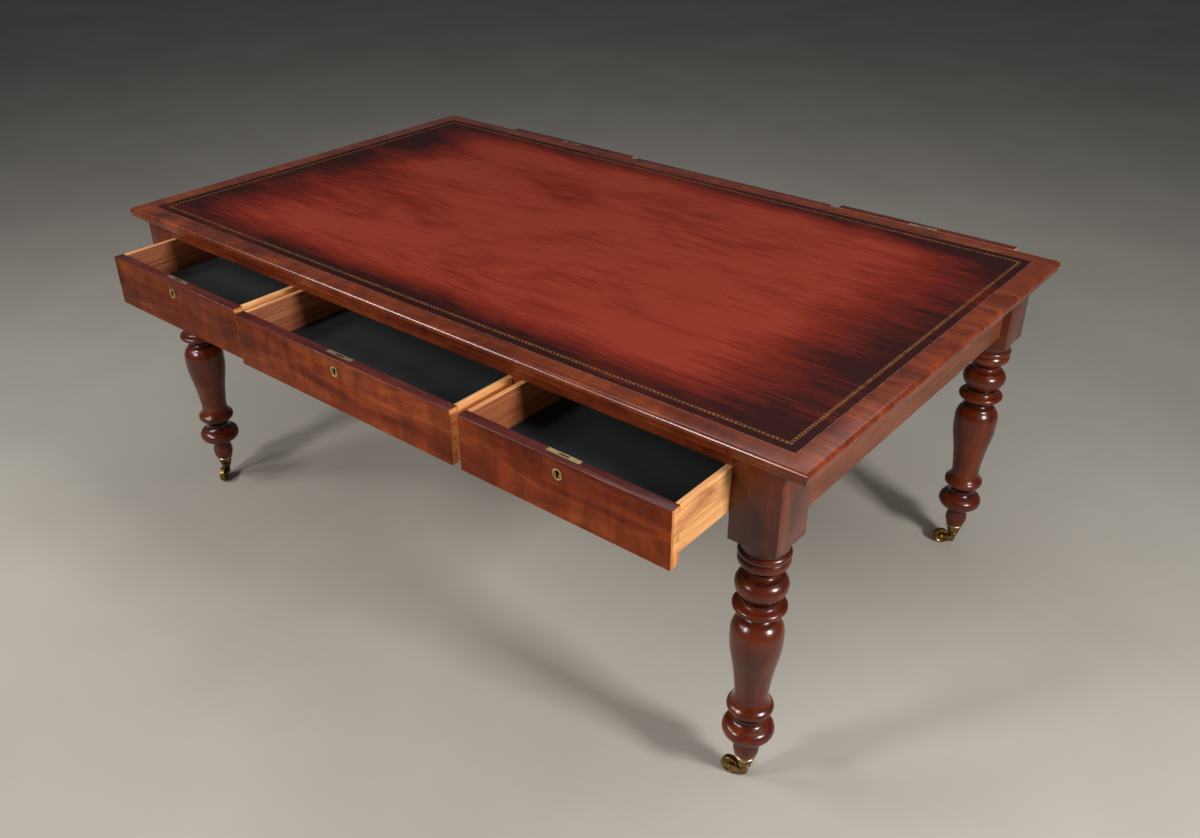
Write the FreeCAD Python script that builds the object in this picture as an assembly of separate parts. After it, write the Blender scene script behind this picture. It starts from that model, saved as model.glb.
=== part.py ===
import FreeCAD, Part
import os

# Partners desk: a leather-lined top on four turned legs with castors,
# and three locking drawers in each long side.
# +X runs along the desk, +Y away from the near side, +Z up.
# The origin is on the floor under the middle of the desk.
# The drawers stand partly open, as in the photograph.

# Whole desk
desk_length = 1829.0
desk_depth = 1067.0
desk_height = 748.0
cut_overrun = 2.0
edge_match_tolerance = 0.05

# Top board, its moulded edge and the leather let into it
board_thickness = 23.0
nose_height = 15.5
nose_upper_round = 9.0
nose_lower_round = 4.0
bead_setback = 2.0
bead_round = 2.0
leather_end_margin = 45.0
leather_long_margin = 42.0
leather_thickness = 1.2
leather_recess_depth = 1.5
leather_edge_gap = 0.3

# Legs: a square block above, turned below
end_overhang = 45.5
long_overhang = 15.0
block_side = 93.0
block_height = 164.0
block_edge_round = 1.5
leg_largest_radius = 48.7
tenon_length = 20.0
tenon_shoulder = 4.0

# Castors
castor_height = 59.0
cup_rim_radius = 19.5
cup_rim_height = 4.5
cup_shoulder_radius = 17.0
cup_foot_radius = 11.0
cup_foot_height = 29.0
spigot_radius = 13.4
spigot_length = 9.5
spigot_clearance = 0.05
pintle_radius = 4.0
pintle_head_radius = 6.0
pintle_head_height = 2.5
pintle_floor_gap = 7.0
swivel_clearance = 0.05
swivel_face_gap = 0.3
castor_trail = 27.0
wheel_radius = 18.5
wheel_width = 12.0
wheel_tread_round = 1.5
wheel_rim_thickness = 3.5
wheel_dish_depth = 2.5
wheel_hub_radius = 6.0
axle_radius = 2.5
axle_clearance = 0.05
axle_head_radius = 4.0
axle_head_height = 1.2
horn_boss_radius = 7.3
horn_arm_thickness = 2.5
horn_arm_eye_radius = 5.5
horn_side_gap = 0.5
horn_yoke_reach = 6.5

# Frame around and between the drawers
rail_height = 23.0
top_rail_depth = 55.0
apron_recess = 17.0
apron_thickness = 22.0
apron_height = 136.0
bearer_thickness = 16.0
lip_drop = 7.0
bearer_depth = 60.0
centre_rail_thickness = 20.0
muntin_width = 18.0
muntin_place = 316.0
runner_width = 60.0
end_runner_lap = 38.0
guide_height = 20.0
end_guide_width = 20.0

# Drawers
front_height = 111.0
front_thickness = 22.0
front_edge_round = 1.2
front_top_clearance = 2.0
front_end_clearance = 1.5
lip_clearance = 0.5
back_clearance = 2.0
side_thickness = 11.0
side_top_step = 1.0
running_clearance = 0.3
guide_clearance = 0.5
side_lap = 6.0
tail_count = 3
back_top_step = 8.0
bottom_thickness = 6.5
bottom_lift = 5.0
groove_depth = 5.0
groove_clearance = 0.1
lining_thickness = 1.0
lining_edge_gap = 0.3
tray_ledge_drop = 26.0
tray_ledge_thickness = 5.0
near_left_opening = 147.0
near_middle_opening = 158.0
near_right_opening = 158.0
far_left_opening = 151.0
far_middle_opening = 143.0
far_right_opening = 158.0

# Drawer locks
plate_length = 70.0
plate_width = 10.0
plate_thickness = 2.0
case_width = 50.0
case_height = 40.0
case_depth = 9.0
case_wall = 1.5
key_drop = 24.0
key_pin_radius = 1.1
keyhole_radius = 3.0
keyhole_slot_width = 3.2
keyhole_slot_length = 9.6
keyhole_clearance = 0.4
bolt_width = 22.0
bolt_thickness = 5.0
bolt_length = 20.0
bolt_clearance = 0.05
bolt_travel = 7.0
strike_clearance = 1.5
escutcheon_drop = 27.0
escutcheon_radius = 10.5
escutcheon_thickness = 1.2
escutcheon_inlay = 0.5
escutcheon_rim_width = 1.6
escutcheon_rim_height = 0.5

# Where the castors point at rest, in degrees round +Z
near_left_castor_turn = 309.0
near_right_castor_turn = 191.0
far_left_castor_turn = 250.0
far_right_castor_turn = 208.0

# Places that follow from the sizes
board_underside = desk_height - board_thickness
frame_half_length = desk_length / 2 - end_overhang
frame_half_depth = desk_depth / 2 - long_overhang
leg_place_x = frame_half_length - block_side / 2
leg_place_y = frame_half_depth - block_side / 2
block_inner_x = frame_half_length - block_side
block_inner_y = frame_half_depth - block_side
block_bottom = board_underside - block_height
turned_length = block_bottom - castor_height
top_rail_bottom = board_underside - rail_height
apron_outer_x = frame_half_length - apron_recess
apron_inner_x = apron_outer_x - apron_thickness
front_top = top_rail_bottom - front_top_clearance
front_bottom = front_top - front_height
bearer_front = frame_half_depth - front_thickness - lip_clearance
bearer_back = bearer_front - bearer_depth
bearer_bottom = front_bottom + lip_drop
bearer_top = bearer_bottom + bearer_thickness
side_bottom = bearer_top + running_clearance
side_top = front_top - side_top_step
box_back = centre_rail_thickness / 2 + back_clearance
panel_bottom = side_bottom + bottom_lift
panel_top = panel_bottom + bottom_thickness
back_top = side_top - back_top_step
key_height = front_top - key_drop
escutcheon_height = front_top - escutcheon_drop
middle_front_half = muntin_place - muntin_width / 2 - front_end_clearance
outer_front_start = muntin_place + muntin_width / 2 + front_end_clearance
outer_front_end = block_inner_x - front_end_clearance
outer_front_half = (outer_front_end - outer_front_start) / 2
outer_front_place = (outer_front_end + outer_front_start) / 2
guide_face_x = outer_front_end + guide_clearance
middle_guide_width = muntin_width + 2 * (front_end_clearance - guide_clearance)
wheel_axle_height = wheel_radius
horn_top = cup_foot_height - swivel_face_gap
horn_bottom = pintle_floor_gap + pintle_head_height + swivel_face_gap

# The turned leg from the block's underside down to the castor.
# Each point is a share of the turned length above the castor,
# and a share of the leg's largest radius.
# An arc goes through its first point to its second.
# A curve goes smoothly through all its points.
leg_start_shares = (1.0, 0.883)
leg_profile_shares = (
    ("arc", (0.98, 0.85), (0.962, 0.84)),
    ("arc", (0.948, 0.944), (0.934, 0.872)),
    ("arc", (0.916, 0.936), (0.897, 0.832)),
    ("curve", (0.883, 0.64), (0.873, 0.535), (0.864, 0.515), (0.857, 0.54), (0.852, 0.62), (0.849, 0.74)),
    ("line", (0.8465, 0.745)),
    ("arc", (0.834, 0.885), (0.814, 0.962)),
    ("curve", (0.793, 0.925), (0.774, 0.8), (0.759, 0.69), (0.747, 0.658), (0.736, 0.7), (0.7305, 0.84)),
    ("arc", (0.7205, 0.986), (0.706, 0.883)),
    ("curve", (0.695, 0.68), (0.686, 0.55), (0.678, 0.515), (0.671, 0.54), (0.665, 0.61), (0.66, 0.7)),
    ("line", (0.658, 0.705)),
    ("arc", (0.644, 0.838), (0.602, 0.975)),
    ("curve", (0.548, 0.965), (0.504, 0.908), (0.424, 0.758), (0.348, 0.66), (0.314, 0.635),
     (0.291, 0.672), (0.273, 0.77)),
    ("arc", (0.254, 0.885), (0.24, 0.821)),
    ("curve", (0.228, 0.68), (0.215, 0.56), (0.203, 0.53), (0.192, 0.56), (0.184, 0.625), (0.179, 0.71)),
    ("line", (0.177, 0.715)),
    ("arc", (0.149, 0.992), (0.1155, 0.79)),
    ("curve", (0.103, 0.575), (0.092, 0.44), (0.078, 0.415)),
    ("arc", (0.04, 0.497), (0.004, 0.405)),
    ("line", (0.0, 0.38)),
)

# Lapped dovetails: half the height of a tail at its root and at its end,
# as shares of the spacing between tails
tail_root_share = 0.30
tail_end_share = 0.40

os.makedirs("parts", exist_ok=True)


def block(x_range, y_range, z_range):
    low = FreeCAD.Vector(min(x_range), min(y_range), min(z_range))
    high = FreeCAD.Vector(max(x_range), max(y_range), max(z_range))
    size = high - low
    return Part.makeBox(size.x, size.y, size.z, low)


def joined(pieces):
    first, *others = pieces
    return first.fuse(others).removeSplitter() if others else first


def turned(points):
    """Revolve a closed outline of (radius, height) points round +Z."""
    corners = [FreeCAD.Vector(radius, 0, height) for radius, height in points]
    outline = Part.makePolygon(corners + [corners[0]])
    return Part.Face(outline).revolve(FreeCAD.Vector(), FreeCAD.Vector(0, 0, 1), 360)


def prism(corners, direction):
    """A flat outline of 3-D corners, pushed along a direction."""
    outline = Part.makePolygon(corners + [corners[0]])
    return Part.Face(outline).extrude(direction)


def moved(shape, x=0, y=0, z=0):
    copy = shape.copy()
    copy.translate(FreeCAD.Vector(x, y, z))
    return copy


def turned_about_z(shape, degrees):
    copy = shape.copy()
    copy.rotate(FreeCAD.Vector(), FreeCAD.Vector(0, 0, 1), degrees)
    return copy


def rounded(shape, radius, is_wanted):
    edges = [edge for edge in shape.Edges if is_wanted(edge.BoundBox)]
    return shape.makeFillet(radius, edges)


def save(name, pieces):
    shape = Part.makeCompound(pieces) if len(pieces) > 1 else pieces[0]
    shape.exportStep(f"parts/{name}.step")


# Top

def centred_slab(length, depth, bottom, top):
    return block((-length / 2, length / 2), (-depth / 2, depth / 2), (bottom, top))


def rounded_rim(slab, height, radius):
    """Round the four level edges of a slab that lie at one height."""

    def is_at_height(box):
        return abs(box.ZMax - height) + abs(box.ZMin - height) < edge_match_tolerance

    return rounded(slab, radius, is_at_height)


def top_board():
    nose_bottom = desk_height - nose_height
    nose = centred_slab(desk_length, desk_depth, nose_bottom, desk_height)
    nose = rounded_rim(nose, desk_height, nose_upper_round)
    nose = rounded_rim(nose, nose_bottom, nose_lower_round)
    bead = centred_slab(
        desk_length - 2 * bead_setback, desk_depth - 2 * bead_setback, board_underside, nose_bottom
    )
    bead = rounded_rim(bead, board_underside, bead_round)
    recess = centred_slab(
        desk_length - 2 * leather_end_margin,
        desk_depth - 2 * leather_long_margin,
        desk_height - leather_recess_depth,
        desk_height + cut_overrun,
    )
    return joined([nose, bead]).cut(recess)


def writing_leather():
    floor = desk_height - leather_recess_depth
    return centred_slab(
        desk_length - 2 * (leather_end_margin + leather_edge_gap),
        desk_depth - 2 * (leather_long_margin + leather_edge_gap),
        floor,
        floor + leather_thickness,
    )


# Legs

def leg_outline():
    """The turned outline as edges, from the axis under the block round to the spigot."""

    def place(share):
        height, radius = share
        return FreeCAD.Vector(radius * leg_largest_radius, 0, castor_height + height * turned_length)

    here = place(leg_start_shares)
    top = FreeCAD.Vector(0, 0, here.z)
    edges = [Part.makeLine(top, here)]
    for kind, *shares in leg_profile_shares:
        points = [here] + [place(share) for share in shares]
        if kind == "line":
            edges.append(Part.makeLine(*points))
        elif kind == "arc":
            edges.append(Part.Arc(*points).toShape())
        else:
            curve = Part.BSplineCurve()
            curve.interpolate(points)
            edges.append(curve.toShape())
        here = points[-1]
    spigot_end = castor_height - spigot_length
    corners = [
        here,
        FreeCAD.Vector(spigot_radius, 0, castor_height),
        FreeCAD.Vector(spigot_radius, 0, spigot_end),
        FreeCAD.Vector(0, 0, spigot_end),
        top,
    ]
    for start, end in zip(corners, corners[1:]):
        edges.append(Part.makeLine(start, end))
    return Part.Wire(edges)


def plain_leg():
    """One leg round the Z axis, before its mortises are cut."""
    half = block_side / 2
    square = block((-half, half), (-half, half), (block_bottom, board_underside))
    square = rounded(square, block_edge_round, lambda box: box.ZLength > block_height / 2)
    turning = Part.Face(leg_outline()).revolve(FreeCAD.Vector(), FreeCAD.Vector(0, 0, 1), 360)
    return square.fuse(turning)


# Castors

def castor_cup():
    rim_bottom = castor_height - cup_rim_height
    bore_radius = spigot_radius + spigot_clearance
    bore_floor = castor_height - spigot_length - spigot_clearance
    rim_lip = cup_rim_radius - cup_shoulder_radius
    return turned([
        (pintle_radius, cup_foot_height),
        (cup_foot_radius, cup_foot_height),
        (cup_shoulder_radius, rim_bottom - rim_lip / 2),
        (cup_rim_radius, rim_bottom),
        (cup_rim_radius, castor_height - rim_lip / 2),
        (cup_shoulder_radius, castor_height),
        (bore_radius, castor_height),
        (bore_radius, bore_floor),
        (pintle_radius, bore_floor),
    ])


def castor_pintle():
    bore_floor = castor_height - spigot_length - spigot_clearance
    head_top = pintle_floor_gap + pintle_head_height
    return turned([
        (0, pintle_floor_gap),
        (pintle_head_radius / 2, pintle_floor_gap),
        (pintle_head_radius, pintle_floor_gap + pintle_head_height / 2),
        (pintle_head_radius, head_top),
        (pintle_radius, head_top),
        (pintle_radius, bore_floor),
        (0, bore_floor),
    ])


def castor_horn():
    """The swivelling fork, with its trail along +X, and the axle through it."""
    arm_inner = wheel_width / 2 + horn_side_gap
    arm_outer = arm_inner + horn_arm_thickness
    boss_height = horn_top - horn_bottom
    boss = Part.makeCylinder(horn_boss_radius, boss_height, FreeCAD.Vector(0, 0, horn_bottom))
    yoke = block((0, horn_yoke_reach), (-arm_outer, arm_outer), (horn_bottom, horn_top - pintle_radius))
    along_y = FreeCAD.Vector(0, 1, 0)
    arms = []
    for low_y in (-arm_outer, arm_inner):
        eye = Part.makeCylinder(
            horn_arm_eye_radius,
            horn_arm_thickness,
            FreeCAD.Vector(castor_trail, low_y, wheel_axle_height),
            along_y,
        )
        arm = prism(
            [
                FreeCAD.Vector(horn_yoke_reach / 2, low_y, horn_bottom),
                FreeCAD.Vector(castor_trail, low_y, wheel_axle_height - horn_arm_eye_radius),
                FreeCAD.Vector(castor_trail, low_y, wheel_axle_height + horn_arm_eye_radius),
                FreeCAD.Vector(horn_yoke_reach / 2, low_y, horn_top - pintle_radius),
            ],
            along_y * horn_arm_thickness,
        )
        arms += [arm, eye]
    bore = Part.makeCylinder(
        pintle_radius + swivel_clearance,
        boss_height + 2 * cut_overrun,
        FreeCAD.Vector(0, 0, horn_bottom - cut_overrun),
    )
    half_axle = arm_outer + axle_head_height
    axle = Part.makeCylinder(
        axle_radius, 2 * half_axle, FreeCAD.Vector(castor_trail, -half_axle, wheel_axle_height), along_y
    )
    heads = [
        Part.makeCylinder(
            axle_head_radius, axle_head_height, FreeCAD.Vector(castor_trail, y, wheel_axle_height), along_y
        )
        for y in (-half_axle, arm_outer)
    ]
    horn = joined([boss, yoke] + arms).cut(bore).cut(axle)
    return [horn, joined([axle] + heads)]


def castor_wheel():
    """A dished brass wheel on the horn's axle, with the trail along +X."""
    half = wheel_width / 2
    rim_inner = wheel_radius - wheel_rim_thickness
    bore = axle_radius + axle_clearance
    half_web = half - wheel_dish_depth
    upper_side = [
        (wheel_radius, half - wheel_tread_round),
        (wheel_radius - wheel_tread_round, half),
        (rim_inner, half),
        (rim_inner - wheel_dish_depth, half_web),
        (wheel_hub_radius, half_web),
        (wheel_hub_radius, half),
        (bore, half),
    ]
    lower_side = [(radius, -height) for radius, height in reversed(upper_side)]
    wheel = turned(upper_side + lower_side)
    wheel.rotate(FreeCAD.Vector(), FreeCAD.Vector(1, 0, 0), 90)
    return moved(wheel, castor_trail, 0, wheel_axle_height)


def at_leg(shape, side_x, side_y, turn=0):
    return moved(turned_about_z(shape, turn), side_x * leg_place_x, side_y * leg_place_y)


# Frame. The rails are made for the near side and turned round for the far one.

def both_sides(shape):
    return [shape, turned_about_z(shape, 180)]


def tenoned_rail(y_range, z_range):
    """A rail between two leg blocks, with a tenon at each end."""
    rail = block((-block_inner_x, block_inner_x), y_range, z_range)
    reach = block_inner_x + tenon_length
    tenon = block(
        (-reach, reach),
        (min(y_range) + tenon_shoulder, max(y_range) - tenon_shoulder),
        (z_range[0] + tenon_shoulder, z_range[1] - tenon_shoulder),
    )
    return joined([rail, tenon])


def strike_mortise(place):
    """The pocket in the top rail that a raised lock bolt enters."""
    bolt_place = frame_half_depth - front_thickness + plate_width / 2
    half_width = bolt_width / 2 + strike_clearance
    half_depth = bolt_thickness / 2 + strike_clearance
    return block(
        (place - half_width, place + half_width),
        (-bolt_place - half_depth, -bolt_place + half_depth),
        (top_rail_bottom - cut_overrun, front_top + bolt_travel + strike_clearance),
    )


def near_top_rail():
    rail = tenoned_rail(
        (-frame_half_depth, top_rail_depth - frame_half_depth), (top_rail_bottom, board_underside)
    )
    for place in (-outer_front_place, 0, outer_front_place):
        rail = rail.cut(strike_mortise(place))
    return rail


def near_bearer():
    return tenoned_rail((-bearer_front, -bearer_back), (bearer_bottom, bearer_top))


def right_apron():
    apron_bottom = board_underside - apron_height
    across = (-block_inner_y, block_inner_y)
    apron = block((apron_inner_x, apron_outer_x), across, (apron_bottom, board_underside))
    reach = block_inner_y + tenon_length
    tenon = block(
        (apron_inner_x + tenon_shoulder, apron_outer_x - tenon_shoulder),
        (-reach, reach),
        (apron_bottom + rail_height, board_underside - rail_height),
    )
    return joined([apron, tenon])


def centre_rail():
    half = centre_rail_thickness / 2
    return block((-apron_inner_x, apron_inner_x), (-half, half), (bearer_bottom, board_underside))


def near_muntin(place):
    """The upright between two drawers. Its foot laps over the bearer's front."""
    across = (place - muntin_width / 2, place + muntin_width / 2)
    foot = block(across, (-frame_half_depth, -bearer_front), (front_bottom, top_rail_bottom))
    post = block(
        across, (-frame_half_depth, top_rail_depth - frame_half_depth), (bearer_top, top_rail_bottom)
    )
    return joined([foot, post])


def strip_to_centre(across, front, z_range):
    """A strip that runs from a place behind the drawer fronts to the centre rail."""
    return block(across, (-front, -centre_rail_thickness / 2), z_range)


def across_muntin(width):
    return (muntin_place - width / 2, muntin_place + width / 2)


def end_strip(front, z_range):
    """A strip along one end, cut round the leg block and fixed to the apron."""
    wide = strip_to_centre((block_inner_x - end_runner_lap, apron_inner_x), block_inner_y, z_range)
    narrow = strip_to_centre((block_inner_x - end_runner_lap, block_inner_x), front, z_range)
    return joined([wide, narrow])


def near_runners():
    levels = (bearer_bottom, bearer_top)
    middle = strip_to_centre(across_muntin(runner_width), bearer_back, levels)
    return [middle, end_strip(bearer_back, levels)]


def near_guides():
    levels = (bearer_top, bearer_top + guide_height)
    middle_front = frame_half_depth - top_rail_depth
    middle = strip_to_centre(across_muntin(middle_guide_width), middle_front, levels)
    end = strip_to_centre((guide_face_x, guide_face_x + end_guide_width), block_inner_y, levels)
    return [middle, end]


def near_kickers():
    """The strips that stop an open drawer tipping down."""
    levels = (top_rail_bottom, board_underside)
    front = frame_half_depth - top_rail_depth
    middle = strip_to_centre(across_muntin(runner_width), front, levels)
    return [middle, end_strip(front, levels)]


def all_four_corners(pieces):
    """Repeat the strips of the near right corner at the other three."""
    result = []
    for piece in pieces:
        mirrored = piece.mirror(FreeCAD.Vector(), FreeCAD.Vector(1, 0, 0))
        result += both_sides(piece) + both_sides(mirrored)
    return result


def frame_nodes():
    top_rails = both_sides(near_top_rail())
    bearers = both_sides(near_bearer())
    aprons = both_sides(right_apron())
    save("top_rails", top_rails)
    save("bearer_rails", bearers)
    save("end_aprons", aprons)
    save("centre_rail", [centre_rail()])
    save("drawer_muntins", both_sides(near_muntin(muntin_place)) + both_sides(near_muntin(-muntin_place)))
    save("drawer_runners", all_four_corners(near_runners()))
    save("drawer_guides", all_four_corners(near_guides()))
    save("drawer_kickers", all_four_corners(near_kickers()))
    tenoned = top_rails + bearers + aprons
    for name, side_x, side_y, turn in legs:
        leg = at_leg(plain_leg(), side_x, side_y)
        save(f"leg_{name}", [leg.cut(tenoned)])
        horn_and_axle = [at_leg(piece, side_x, side_y, turn) for piece in castor_horn()]
        save(f"castor_horn_{name}", horn_and_axle)
        save(f"castor_wheel_{name}", [at_leg(castor_wheel(), side_x, side_y, turn)])
    fixed = [at_leg(piece, *place[1:3]) for place in legs for piece in (castor_cup(), castor_pintle())]
    save("castor_cups", fixed)


# Drawers. Each is made shut at the near side, centred on X = 0,
# then moved to its place and pulled out to its opening.

def dovetails(root_y, end_y, x_range, z_range):
    """A row of tails that widen from their root to their end."""
    spacing = (z_range[1] - z_range[0]) / tail_count
    width = FreeCAD.Vector(x_range[1] - x_range[0], 0, 0)
    tails = []
    for count in range(tail_count):
        middle = z_range[0] + spacing * (count + 1 / 2)
        root_half = spacing * tail_root_share
        end_half = spacing * tail_end_share
        corners = [
            FreeCAD.Vector(x_range[0], root_y, middle - root_half),
            FreeCAD.Vector(x_range[0], end_y, middle - end_half),
            FreeCAD.Vector(x_range[0], end_y, middle + end_half),
            FreeCAD.Vector(x_range[0], root_y, middle + root_half),
        ]
        tails.append(prism(corners, width))
    return tails


def front_tails(half_width):
    root = front_thickness - frame_half_depth
    return dovetails(root, side_lap - frame_half_depth, (half_width - side_thickness, half_width),
                     (side_bottom, side_top))


def back_tails(half_width):
    return dovetails(-box_back - side_thickness, -box_back, (half_width - side_thickness, half_width),
                     (panel_top, back_top))


def bottom_panel(half_width, clearance=0):
    """The bottom, or with a clearance, the groove that it slides in."""
    half = half_width - side_thickness + groove_depth + clearance
    front = front_thickness - groove_depth - clearance - frame_half_depth
    back = -box_back + (cut_overrun if clearance else 0)
    return block((-half, half), (front, back), (panel_bottom - clearance, panel_top + clearance))


def mirrored_pair(shape):
    return [shape, shape.mirror(FreeCAD.Vector(), FreeCAD.Vector(1, 0, 0))]


def drawer_side(half_width):
    inner = half_width - side_thickness
    side = block(
        (inner, half_width), (front_thickness - frame_half_depth, -box_back), (side_bottom, side_top)
    )
    band = block((inner, half_width), (-box_back - side_thickness, -box_back), (panel_top, back_top))
    side = side.cut(band).fuse(back_tails(half_width) + front_tails(half_width))
    return side.cut(bottom_panel(half_width, groove_clearance)).removeSplitter()


def drawer_back(half_width):
    back = block((-half_width, half_width), (-box_back - side_thickness, -box_back), (panel_top, back_top))
    for tail in back_tails(half_width):
        back = back.cut(mirrored_pair(tail))
    return back


def lock_case_space():
    """The body of the lock, flush with the back of the drawer front."""
    back = front_thickness - frame_half_depth
    plate_bottom = front_top - plate_thickness
    case = block(
        (-case_width / 2, case_width / 2), (back - case_depth, back), (plate_bottom - case_height, front_top)
    )
    plate = block(
        (-plate_length / 2, plate_length / 2), (back - plate_width, back), (plate_bottom, front_top)
    )
    return joined([case, plate])


def drawer_front(half_width):
    face = -frame_half_depth
    front = block((-half_width, half_width), (face, face + front_thickness), (front_bottom, front_top))
    front = rounded(front, front_edge_round, lambda box: box.YMax < face + edge_match_tolerance)
    for tail in front_tails(half_width):
        front = front.cut(mirrored_pair(tail))
    front = front.cut(bottom_panel(half_width, groove_clearance)).cut(lock_case_space())
    inlay = Part.makeCylinder(
        escutcheon_radius,
        escutcheon_inlay,
        FreeCAD.Vector(0, face, escutcheon_height),
        FreeCAD.Vector(0, 1, 0),
    )
    return front.cut(inlay).cut(keyhole(front_thickness, keyhole_clearance))


def keyhole(depth, clearance=0):
    """A round hole with a slot below it, pushed both ways from the escutcheon's back."""
    start = escutcheon_inlay - frame_half_depth - depth
    round_part = Part.makeCylinder(
        keyhole_radius + clearance, 2 * depth, FreeCAD.Vector(0, start, key_height), FreeCAD.Vector(0, 1, 0)
    )
    half_slot = keyhole_slot_width / 2 + clearance
    slot = block(
        (-half_slot, half_slot),
        (start, start + 2 * depth),
        (key_height - keyhole_slot_length - clearance, key_height),
    )
    return joined([round_part, slot])


def escutcheon():
    back = escutcheon_inlay - frame_half_depth
    towards_user = FreeCAD.Vector(0, -1, 0)
    centre = FreeCAD.Vector(0, back, escutcheon_height)
    disc = Part.makeCylinder(escutcheon_radius, escutcheon_thickness, centre, towards_user)
    rim_height = escutcheon_thickness + escutcheon_rim_height
    rim = Part.makeCylinder(escutcheon_radius, rim_height, centre, towards_user)
    dish = Part.makeCylinder(
        escutcheon_radius - escutcheon_rim_width, rim_height + cut_overrun, centre, towards_user
    )
    return joined([disc, rim.cut(dish)]).cut(keyhole(escutcheon_radius))


def bolt_space(clearance, bottom, top):
    half = bolt_width / 2 + clearance
    middle = front_thickness - plate_width / 2 - frame_half_depth
    half_depth = bolt_thickness / 2 + clearance
    return block((-half, half), (middle - half_depth, middle + half_depth), (bottom, top))


def drawer_lock():
    """The lock case with its plate and key pin, and the escutcheon on the drawer's face."""
    back = front_thickness - frame_half_depth
    case_top = front_top - plate_thickness
    case_bottom = case_top - case_height
    hollow = block(
        (-case_width / 2 + case_wall, case_width / 2 - case_wall),
        (back - case_depth + case_wall, back - case_wall),
        (case_bottom + case_wall, case_top),
    )
    slot = bolt_space(bolt_clearance, case_top - cut_overrun, front_top + cut_overrun)
    key_window = Part.makeCylinder(
        keyhole_radius + keyhole_slot_width,
        2 * case_wall,
        FreeCAD.Vector(0, back - case_depth - case_wall, key_height),
        FreeCAD.Vector(0, 1, 0),
    )
    pin = Part.makeCylinder(
        key_pin_radius,
        case_depth - case_wall / 2,
        FreeCAD.Vector(0, back - case_depth, key_height),
        FreeCAD.Vector(0, 1, 0),
    )
    case = lock_case_space().cut(hollow).cut(slot).cut(key_window)
    return [joined([case, pin]), escutcheon()]


def lock_bolt():
    return bolt_space(0, front_top - bolt_length, front_top)


def drawer_lining(half_width):
    half = half_width - side_thickness - lining_edge_gap
    return block(
        (-half, half),
        (front_thickness + lining_edge_gap - frame_half_depth, -box_back - side_thickness - lining_edge_gap),
        (panel_top, panel_top + lining_thickness),
    )


def tray_ledge(half_width):
    """The strip inside a drawer's side that a sliding tray would run on."""
    face = half_width - side_thickness
    return block(
        (face - tray_ledge_thickness, face),
        (front_thickness - frame_half_depth, -box_back - side_thickness),
        (panel_top + lining_thickness, side_top - tray_ledge_drop),
    )


def drawer_nodes(name, place, half_width, opening, far_side, has_tray_ledges):
    sides_and_back = mirrored_pair(drawer_side(half_width)) + [drawer_back(half_width)]
    if has_tray_ledges:
        sides_and_back += mirrored_pair(tray_ledge(half_width))
    nodes = {
        "front": [drawer_front(half_width)],
        "box": sides_and_back,
        "bottom": [bottom_panel(half_width)],
        "lining": [drawer_lining(half_width)],
        "lock": drawer_lock(),
        "bolt": [lock_bolt()],
    }
    for part_name, pieces in nodes.items():
        placed = [moved(piece, 0, -opening, 0) for piece in pieces]
        if far_side:
            placed = [turned_about_z(piece, 180) for piece in placed]
        save(f"{name}_{part_name}", [moved(piece, place, 0, 0) for piece in placed])


legs = (
    ("near_left", -1, -1, near_left_castor_turn),
    ("near_right", 1, -1, near_right_castor_turn),
    ("far_left", -1, 1, far_left_castor_turn),
    ("far_right", 1, 1, far_right_castor_turn),
)

drawers = (
    ("near_left", -outer_front_place, outer_front_half, near_left_opening, False, False),
    ("near_middle", 0, middle_front_half, near_middle_opening, False, True),
    ("near_right", outer_front_place, outer_front_half, near_right_opening, False, False),
    ("far_left", -outer_front_place, outer_front_half, far_left_opening, True, False),
    ("far_middle", 0, middle_front_half, far_middle_opening, True, False),
    ("far_right", outer_front_place, outer_front_half, far_right_opening, True, False),
)

save("top_board", [top_board()])
save("writing_leather", [writing_leather()])
frame_nodes()
for drawer in drawers:
    drawer_nodes(*drawer)
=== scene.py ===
# %% [markdown]
# # A partners desk with turned legs
# The desk is a mahogany table for two people: a red leather top, three drawers in each long side,
# and four turned legs on brass castors. The construction model already gives every part its true
# place and size, so this lesson loads it as a fixed frame and dresses it: it remakes the parts
# whose curves show, such as the legs and the moulded top, and gives all of them their finish.

# %% Load the frame
import math
import bmesh
import bpy
from mathutils import Matrix, Vector


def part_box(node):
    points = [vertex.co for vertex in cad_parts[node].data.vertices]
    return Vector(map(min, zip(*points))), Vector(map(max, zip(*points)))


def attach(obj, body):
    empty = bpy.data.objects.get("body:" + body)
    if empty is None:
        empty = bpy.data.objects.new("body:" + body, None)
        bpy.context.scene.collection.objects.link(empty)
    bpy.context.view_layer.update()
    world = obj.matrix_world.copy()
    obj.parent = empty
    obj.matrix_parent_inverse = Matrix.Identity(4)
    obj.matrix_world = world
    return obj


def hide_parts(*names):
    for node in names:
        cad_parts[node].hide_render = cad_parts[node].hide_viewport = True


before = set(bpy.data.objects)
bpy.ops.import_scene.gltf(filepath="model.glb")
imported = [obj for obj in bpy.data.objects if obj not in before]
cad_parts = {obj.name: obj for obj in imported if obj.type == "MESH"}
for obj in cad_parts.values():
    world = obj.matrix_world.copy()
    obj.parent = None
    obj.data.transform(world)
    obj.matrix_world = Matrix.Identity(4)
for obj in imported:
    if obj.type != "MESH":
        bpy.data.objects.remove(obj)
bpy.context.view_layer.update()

# %% [markdown]
# ## The camera
# A photographer stood at the desk's near right corner and looked down over the top. The lens and
# the place were found by matching the corners of the top, the leather, the drawers and the castors
# with a pinhole camera. A camera turns in three steps: it is tipped down, turned about the
# vertical, and rolled a little about its own line of sight, so the three rotations are multiplied
# in that order.

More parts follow.
